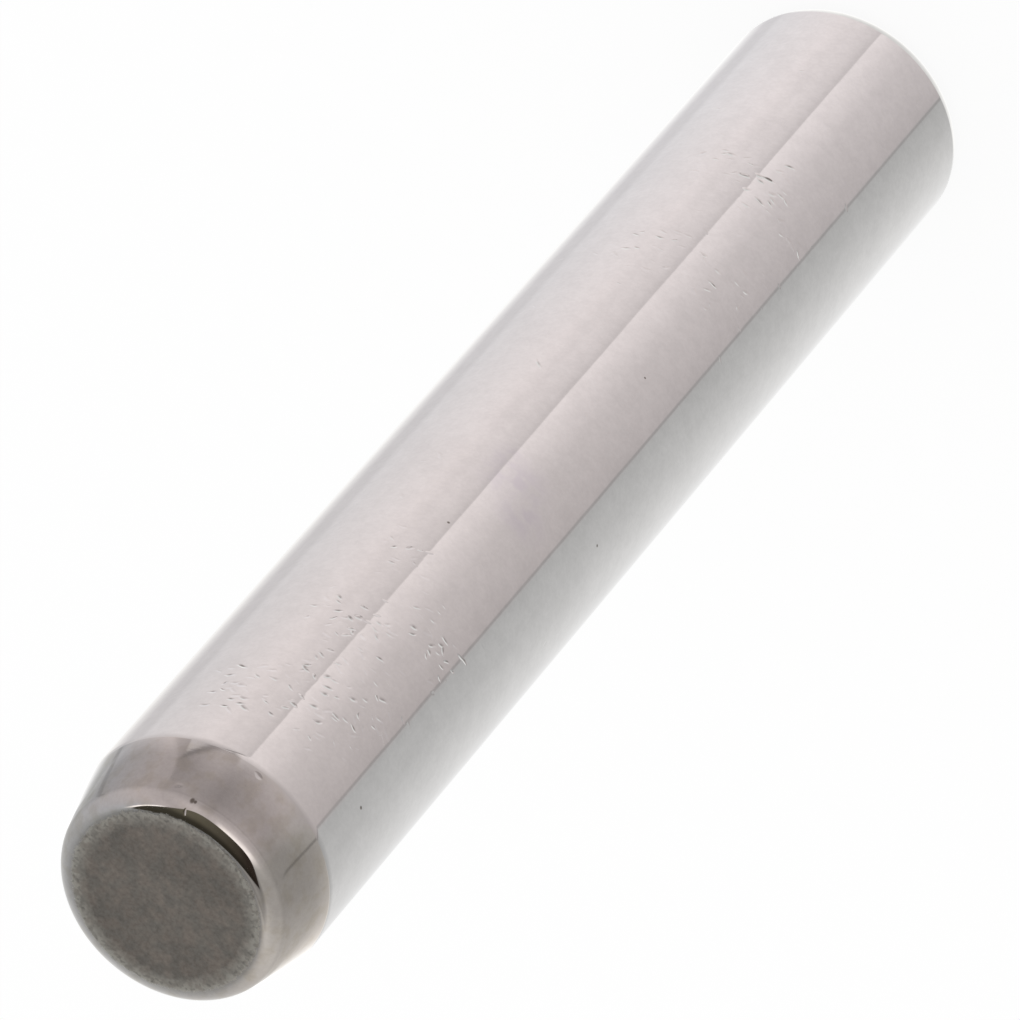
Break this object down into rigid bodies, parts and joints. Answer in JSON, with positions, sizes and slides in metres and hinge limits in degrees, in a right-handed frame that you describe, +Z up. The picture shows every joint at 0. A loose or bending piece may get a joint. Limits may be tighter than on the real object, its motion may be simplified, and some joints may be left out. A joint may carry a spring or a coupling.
{
  "type": "dowel pin",
  "caption": "Hardened, ground steel dowel pin with a tapered lead end and a rounded foot; it locates two parts when pressed into reamed holes.",
  "frame": {"origin": "centre of the foot's face, which the pin stands on", "axes": "+Z up along the pin's axis, from the foot to the tapered lead end"},
  "size_m": [0.0064, 0.0064, 0.0381],
  "materials": {
    "ground_steel": "ground and polished shank and ends, matte lead face"
  },
  "bodies": {
    "root": {"pin": "ground_steel"}
  },
  "joints": []
}
